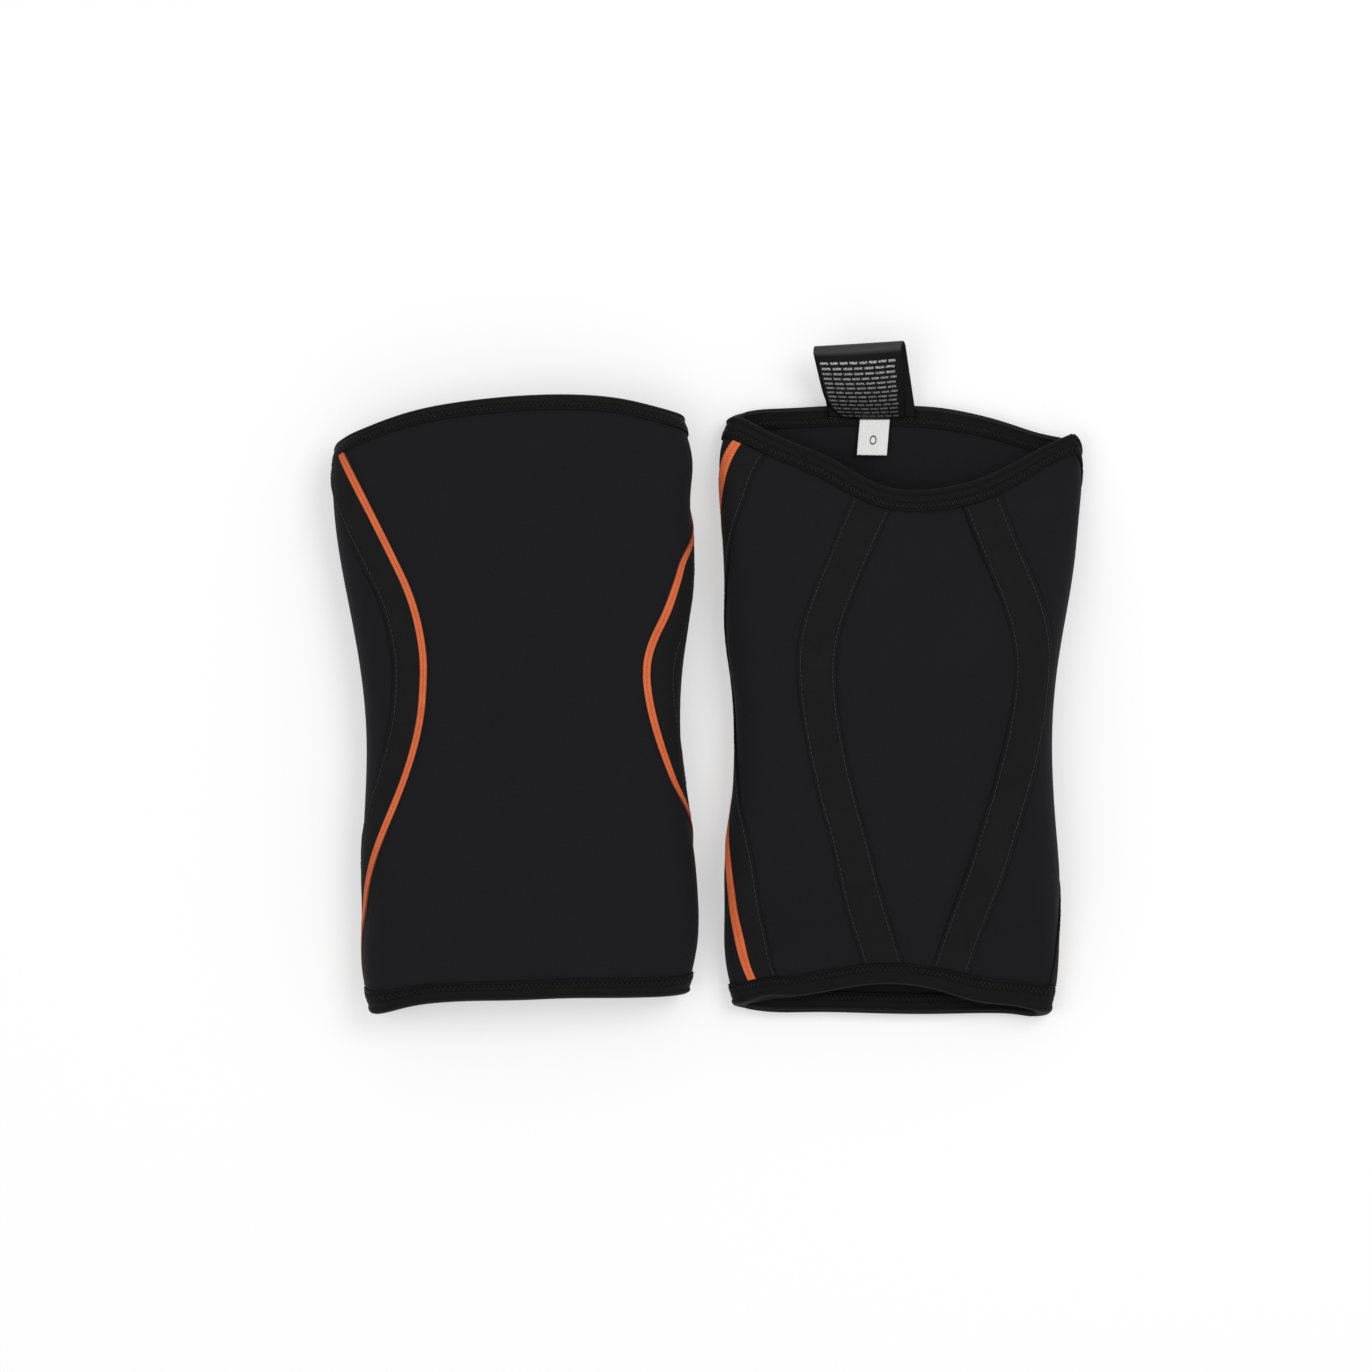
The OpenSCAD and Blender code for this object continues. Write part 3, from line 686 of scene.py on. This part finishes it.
def binding_finish():
    """across counts the zigzags round the hem, and up is the way along the profile."""
    material, shader = new_finish("stretch_binding", roughness=0.72, specular=0.10, sheen=0.02)
    _, spot, across, up = cloth_coordinates(material)
    weave = maths(material, "MULTIPLY", waves(material, across, 1 / 3), waves(material, up, 0.0008))
    dye = speckle(material, spot, scale=90.0, detail=4.0, roughness=0.6)
    tone = maths(material, "MULTIPLY_ADD", weave, 0.12, dye)
    shades = mix_colours(material, tone, (0.0029, 0.0029, 0.0034), (0.0086, 0.0086, 0.0096))
    holes, painted_row_shades, rims = [], [], []
    for face, rim in binding_faces:
        for sign, part in ((-1, 0.0), (1, 0.5)):
            row = way_along(face, hem_stitch_in + sign * zigzag_w / 2)
            near = maths(material, "COMPARE", up, row, 0.0005)
            turn = maths(material, "PINGPONG", maths(material, "ADD", across, part), 0.5)
            turn = maths(material, "LESS_THAN", turn, 0.24)
            holes.append(maths(material, "MULTIPLY", near, turn))
        off_row, off_painted_highlight = (
            maths(material, "ABSOLUTE", maths(material, "SUBTRACT", up, way_along(face, inset)))
            for inset in (hem_stitch_in, rim)
        )
        # The band along each stitched row is darkened: painted shade in its groove.
        painted_row_shades.append(grade(material, off_row, 0.0012, 0.0026, 0.38, 0.0))
        # A pale line along the rolled rim of each face is a painted highlight.
        rims.append(grade(material, off_painted_highlight, 0.0005, 0.0016, 0.75, 0.0))
    pale, dark = maths(material, "MAXIMUM", *rims), maths(material, "MAXIMUM", *painted_row_shades)
    # Each needle hole of the zigzag is darkened too: painted shade in the holes.
    for hole in holes:
        dark = maths(material, "MAXIMUM", dark, maths(material, "MULTIPLY", hole, 0.85))
    # The pale mix below is the painted highlight along the rims.
    shades = mix_colours(material, pale, shades, (0.0165, 0.0165, 0.0180))
    # The dark mix below is painted shade along the stitched rows and in the needle holes.
    shades = mix_colours(material, dark, shades, (0.0016, 0.0016, 0.0018))
    feed(material, shader, "Base Color", shades)
    feed(material, shader, "Roughness", maths(material, "MULTIPLY_ADD", dye, 0.22, 0.56))
    emboss(material, shader, weave, depth=0.00007, strength=0.5)
    return material


stretch_binding = binding_finish()


def edge_point(sleeve, end, share, inset, height):
    """A point near the calf edge (end 0) or the thigh edge (end 1), from -1 to 1 round the leg."""
    at = end * side_length
    step = inset * side_length / length_at(math.pi * share)
    t = at + (1 - 2 * end) * step
    return lie(sleeve, share * half_round(t), t, height)


def fold_binding(sleeve, end):
    bm = bmesh.new()
    count = len(binding_profile)
    bmesh.ops.create_grid(bm, x_segments=hem_rings, y_segments=count, size=0.5)
    bm.verts.index_update()
    u, v, _ = np.array([p.co for p in bm.verts]).T
    share = 2 * (u + 0.5) - 1
    profile = np.array(binding_profile + binding_profile[:1])
    inset, height = profile[np.rint((v + 0.5) * count).astype(int)].T
    ripple = np.sin(math.pi * share * 41 + sleeve.mood)
    ripple = ripple + 0.7 * np.sin(math.pi * share * 26 + 1 + 2 * end)
    near_row = np.exp(-(((inset - hem_stitch_in) / 0.0022) ** 2))
    gather = near_row * np.sin(math.pi * share * zigzags[end])
    soft = rim_ripple * ripple * (inset < rim_in) + stitch_gather * gather
    soft = np.where(height > 0.0004, soft, 0.0)
    for p, spot in zip(bm.verts, edge_point(sleeve, end, share, inset, height + soft)):
        p.co = spot
    weave = bm.loops.layers.uv.new("weave")
    steps = np.concatenate([[0], np.cumsum(np.hypot(*np.diff(profile, axis=0).T))])
    round_hem, along_profile = (u + 0.5) * zigzags[end], steps[np.rint((v + 0.5) * count).astype(int)]
    for face in bm.faces:
        for corner in face.loops:
            i = corner.vert.index
            corner[weave].uv = (round_hem[i], along_profile[i])
    bmesh.ops.remove_doubles(bm, verts=bm.verts, dist=1e-6)
    return bm


for sleeve in (LEFT, RIGHT):
    for end, hem, body in hems:
        bm = fold_binding(sleeve, end)
        piece = make_piece(bm, f"{sleeve.name}_{hem}_binding", "fold", stretch_binding)
        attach(piece, f"{sleeve.name}_{body}")


# ---- Hem stitching ---------------------------------------------------------------------------
# A zigzag of black thread, 3 mm wide, runs right round each binding near its inner edge and sews
# it to the neoprene, so that the hem can stretch with the leg.

outer_thread_up, inner_thread_up = 0.00112, -0.0062

for sleeve in (LEFT, RIGHT):
    for end, hem, body in hems:
        hole = np.arange(2 * zigzags[end] + 1)
        share = np.linspace(-1, 1, len(hole))
        inset = hem_stitch_in + zigzag_w / 2 * np.where(hole % 2, 1, -1)
        outer = edge_point(sleeve, end, share, inset, outer_thread_up)
        inner = edge_point(sleeve, end, share, inset, inner_thread_up)
        starts = np.concatenate([outer[:-1], inner[:-1]])
        ends = np.concatenate([outer[1:], inner[1:]])
        outward = np.concatenate([outer[:-1] - inner[:-1], inner[:-1] - outer[:-1]])
        rows = sew(starts, ends, outward)
        piece = make_piece(rows, f"{sleeve.name}_{hem}_hem_stitching", "zigzag", hem_thread)
        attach(piece, f"{sleeve.name}_{body}")


# ---- Size label ------------------------------------------------------------------------------
# A small white woven ribbon, sewn by its upper end to the inner face of the front's upper hem. It
# hangs down over the neoprene, and a plain grey round figure is printed on it.

inside = SimpleNamespace(**{**vars(RIGHT), "lifts": []})
size_seam = (-0.0145, 0.151797, 0.0083)
size_label_w, size_label_l, ribbon_t = 0.015, 0.0185, 0.0004
# It is sewn a little to one side and past its seam, hangs askew, and stands off the cloth at its foot.
size_shift, size_lean, size_past_seam, size_taken_up = 0.0020, 0.0012, 0.0012, 0.0007
size_off_cloth, size_foot_lift, size_bow, size_cup = 0.00045, 0.0012, 0.0011, 0.0006


def bend_at_seam(piece):
    """The ribbon's place is baked into its mesh."""
    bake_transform(piece)


def ribbon(columns, rows):
    """A flat ribbon of cells, 1 wide, 1 long and 1 thick, with its weave laid along it."""
    bm = bmesh.new()
    bmesh.ops.create_grid(bm, x_segments=columns, y_segments=rows, size=0.5)
    bmesh.ops.translate(bm, vec=(0.5, 0.5, 0), verts=bm.verts)
    weave = bm.loops.layers.uv.new("weave")
    for face in bm.faces:
        for corner in face.loops:
            corner[weave].uv = corner.vert.co.xy
    thicken(bm)
    return bm


def size_label_finish():
    material, shader = new_finish("white_ribbon", roughness=0.75, specular=0.30)
    uv, spot, across, up = cloth_coordinates(material)
    warp = waves(material, across, 1 / 40)
    weft = waves(material, up, 1 / 50)
    weave = maths(material, "MULTIPLY", warp, weft)
    dye = speckle(material, spot, scale=300.0, detail=3.0, roughness=0.6)
    tone = maths(material, "MULTIPLY_ADD", weave, 0.2, dye)
    white = mix_colours(material, tone, (0.90, 0.90, 0.885), (0.80, 0.80, 0.785))
    spread = {"Vector": uv, "Location": (-4.4, -4.36, 0.0), "Scale": (8.8, 7.6, 1.0)}
    figure = add(material, "ShaderNodeMapping", spread).outputs[0]
    ring = add(material, "ShaderNodeVectorMath", {0: figure}, operation="LENGTH").outputs["Value"]
    ink = maths(material, "COMPARE", ring, 0.86, 0.17)
    feed(material, shader, "Base Color", mix_colours(material, ink, white, (0.085, 0.085, 0.085)))
    emboss(material, shader, weave, depth=0.00005, strength=0.5)
    return material


bm = ribbon(columns=20, rows=26)
across, along, up = np.array([p.co for p in bm.verts]).T
curl = size_bow * np.sin(math.pi * 0.5 * along) ** 2 + size_cup * along * (2 * across - 1) ** 2
x = size_seam[0] + (across - 0.5) * size_label_w - size_lean * along + size_shift
y = size_seam[1] + size_past_seam - along * (size_label_l - size_taken_up)
z = size_seam[2] + size_off_cloth + size_foot_lift * along**2 + 0.6 * curl + up * ribbon_t
for p, spot in zip(bm.verts, place(inside, x, y, z)):
    p.co = spot
size_label = make_piece(bm, "right_size_label", "ribbon", size_label_finish())
bend_at_seam(size_label)


# ---- Care label ------------------------------------------------------------------------------
# A black satin ribbon folded in two and sewn by its ends to the same hem. The loop is turned out
# over the thigh edge, leans a little to one side, and shows rows of small white marks.

care_seam = (-0.0145, 0.153597, 0.0083)
care_label_w, care_label_l, care_rise = 0.044, 0.041, math.radians(24.19)
fold_radius, seam_in, under_share, fold_share = 0.0026, 0.0005, 0.46, 0.08
ends_gap, care_off_cloth, care_shift, care_tilt, care_arch = 0.0009, 0.0002, 0.0008, 0.0036, 0.0022
# The upper layer leans further than the one under it, and is drawn in at both sides near the seam.
under_lean, over_lean, left_draw, right_draw = -0.0072, -0.0094, 0.0085, 0.0055
print_left, print_right, print_top, print_bottom = 0.045, 0.92, 0.5925, 0.994


def care_label_finish():
    material, shader = new_finish("black_satin", roughness=0.38, specular=0.16)
    shader.inputs["Anisotropic"].default_value = 0.4
    uv, spot, across, up = cloth_coordinates(material)
    satin = waves(material, up, 1 / 190)
    dye = speckle(material, spot, scale=220.0, detail=3.0, roughness=0.6)
    black = mix_colours(material, dye, (0.0022, 0.0022, 0.0026), (0.0060, 0.0060, 0.0066))
    # A paler band across the fold is a painted sheen of the satin where it turns over.
    off_fold = maths(material, "ABSOLUTE", maths(material, "SUBTRACT", up, 0.515))
    painted_fold_sheen = grade(material, off_fold, 0.024, 0.050, 1.0, 0.0)
    black = mix_colours(material, painted_fold_sheen, black, (0.046, 0.046, 0.048))
    # The rows of marks stand closer and paler towards the seam.
    down = maths(material, "SUBTRACT", up, print_top)
    closer = maths(material, "MULTIPLY", down, maths(material, "MULTIPLY_ADD", down, 0.6, 1.0))
    from_left = maths(material, "SUBTRACT", across, print_left)
    rows = add(material, "ShaderNodeCombineXYZ", {0: from_left, 1: closer}).outputs[0]
    lines = add(
        material, "ShaderNodeTexBrick",
        {
            "Vector": rows, "Color1": (1, 1, 1, 1), "Color2": (0.75, 0.75, 0.75, 1),
            "Mortar": (0, 0, 0, 1), "Scale": 1.0, "Mortar Size": 0.0130, "Mortar Smooth": 0.25,
            "Bias": 0.0, "Brick Width": 0.125, "Row Height": 0.0382,
        },
        offset=0.03, offset_frequency=2, squash=0.9, squash_frequency=3,
    )
    broken = speckle(material, uv, scale=80.0, detail=1.0, roughness=0.5)
    broken = maths(material, "MULTIPLY_ADD", broken, 3.4, -0.95)
    marks = maths(material, "MAXIMUM", maths(material, "MULTIPLY", lines.outputs[0], broken), 0.0)
    marks = maths(material, "MINIMUM", marks, 1.0)
    marks = maths(material, "MULTIPLY", marks, grade(material, up, 0.60, 0.99, 0.90, 0.14))
    for way, first, last in ((across, print_left, print_right), (up, print_top, print_bottom)):
        on_print = maths(material, "COMPARE", way, (first + last) / 2, (last - first) / 2)
        marks = maths(material, "MULTIPLY", marks, on_print)
    feed(material, shader, "Base Color", mix_colours(material, marks, black, (0.62, 0.62, 0.62)))
    feed(material, shader, "Roughness", maths(material, "MULTIPLY_ADD", dye, 0.16, 0.28))
    emboss(material, shader, satin, depth=0.00004, strength=0.35)
    return material


bm = ribbon(columns=30, rows=110)
across, along, up = np.array([p.co for p in bm.verts]).T
going = np.clip(along / under_share, 0, 1)
turning = np.clip((along - under_share) / fold_share, 0, 1) * math.pi
coming = np.clip((along - under_share - fold_share) / (1 - under_share - fold_share), 0, 1)
run = care_label_l - fold_radius - seam_in
out = seam_in + run * (going - coming) + fold_radius * np.sin(turning)
rise = fold_radius * (1 - np.cos(turning)) - (2 * fold_radius - ends_gap) * coming**1.4
thick = (up - 0.5) * ribbon_t
out = out - thick * np.sin(turning)
rise = rise + care_off_cloth - thick * np.where(along < under_share, 1, np.cos(turning))
out_share = np.clip(out / care_label_l, 0, 1)
layer = np.clip((along - under_share) / fold_share, 0, 1)
lean = care_shift + mix(under_lean, over_lean, layer) * out_share
low = 1 - out_share
narrow = layer * (left_draw * low**8 * (1 - across) ** 2 - right_draw * low**1.2 * across)
arch = layer * care_arch * np.sin(math.pi * across) * np.sin(math.pi * out_share).clip(0, 1) ** 0.7
x = care_seam[0] + (across - 0.5) * care_label_w + lean + narrow
tilt = (across - 0.5) * care_tilt * out_share
y = care_seam[1] + out * math.cos(care_rise) - (rise + arch) * math.sin(care_rise) + tilt
z = care_seam[2] + out * math.sin(care_rise) + (rise + arch) * math.cos(care_rise)
for p, spot in zip(bm.verts, place(inside, x, y, z)):
    p.co = spot
care_label = make_piece(bm, "right_care_label", "ribbon", care_label_finish())
bend_at_seam(care_label)


# ---- Label stitching -------------------------------------------------------------------------
# A short row of black lockstitch across the sewn end of each label, through the ribbon and the
# hem behind it.

label_row_in, label_thread_up = 0.0012, 0.0001

starts, ends = [], []
for seam, width in ((care_seam, care_label_w), (size_seam, size_label_w)):
    x = seam[0] + np.linspace(-0.5, 0.5, round(width / stitch_pitch)) * (width - label_row_in)
    holes = place(inside, x, seam[1] + 0 * x, seam[2] + label_thread_up + 0 * x)
    starts.append(holes[:-1])
    ends.append(holes[1:])
starts, ends = np.concatenate(starts), np.concatenate(ends)
rows = sew(starts, ends, np.tile([0.0, 0.0, 1.0], (len(starts), 1)))
piece = make_piece(rows, "right_label_stitching", "rows", black_thread)
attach(piece, "right_sleeve")


# ---- Floor, light and camera -----------------------------------------------------------------
# A plain white table under soft, even studio light from above: a pale sky and two large lamps. The
# camera looks straight down from well above, so the two sleeves are seen nearly without perspective.

table_reach, table_paint, table_glow = 6, 0.68, 0.39
sky_light, sky_seen = 0.55, 0.45

bm = bmesh.new()
bmesh.ops.create_grid(bm, x_segments=1, y_segments=1, size=table_reach)
table_mesh = bpy.data.meshes.new("table")
bm.to_mesh(table_mesh)
bm.free()
table = bpy.data.objects.new("table", table_mesh)
bpy.context.scene.collection.objects.link(table)

table_top = bpy.data.materials.new("table_top")
table_top.use_nodes = True
table_top.node_tree.nodes.clear()
seen = add(table_top, "ShaderNodeLightPath", {})
any_seen = maths(table_top, "MAXIMUM", seen.outputs["Is Camera Ray"], seen.outputs["Is Glossy Ray"])
any_seen = maths(table_top, "MAXIMUM", any_seen, seen.outputs["Is Transmission Ray"])
paint = add(table_top, "ShaderNodeBsdfDiffuse", {"Color": (table_paint, table_paint, table_paint, 1)})
strength = maths(table_top, "MULTIPLY", any_seen, table_glow)
glow = add(table_top, "ShaderNodeEmission", {"Color": (1, 1, 1, 1), "Strength": strength})
both = add(table_top, "ShaderNodeAddShader", {0: paint.outputs[0], 1: glow.outputs[0]})
add(table_top, "ShaderNodeOutputMaterial", {"Surface": both.outputs[0]})
table_mesh.materials.append(table_top)

world = bpy.data.worlds.new("studio")
world.use_nodes = True
bpy.context.scene.world = world
world.node_tree.nodes.clear()
seen = add(world, "ShaderNodeLightPath", {})
any_seen = maths(world, "MAXIMUM", seen.outputs["Is Camera Ray"], seen.outputs["Is Transmission Ray"])
strength = maths(world, "MULTIPLY_ADD", any_seen, sky_seen, sky_light)
sky = add(world, "ShaderNodeBackground", {"Color": (1, 1, 1, 1), "Strength": strength})
add(world, "ShaderNodeOutputWorld", {"Surface": sky.outputs[0]})


def soft_lamp(name, spot, size, power):
    light = bpy.data.lights.new(name, "AREA")
    light.shape = "DISK"
    light.size = size
    light.energy = power
    lamp = bpy.data.objects.new(name, light)
    lamp.location = spot
    lamp.rotation_euler = (Vector((0, 0, 0)) - Vector(spot)).to_track_quat("-Z", "Y").to_euler()
    bpy.context.scene.collection.objects.link(lamp)


soft_lamp("key", (0.9, 0.7, 1.9), size=1.2, power=14)
soft_lamp("fill", (-1.0, -0.3, 2.0), size=1.6, power=9)

view_w, view_height, sensor_w = 0.686, 3.0, 36
eye = bpy.data.cameras.new("camera")
eye.sensor_width = sensor_w
eye.lens = sensor_w * view_height / view_w
camera = bpy.data.objects.new("camera", eye)
camera.location = (-0.010125, -0.004, 0.02 + view_height)
bpy.context.scene.collection.objects.link(camera)
bpy.context.scene.camera = camera
bpy.context.scene.view_settings.view_transform = "Standard"

bpy.context.view_layer.update()
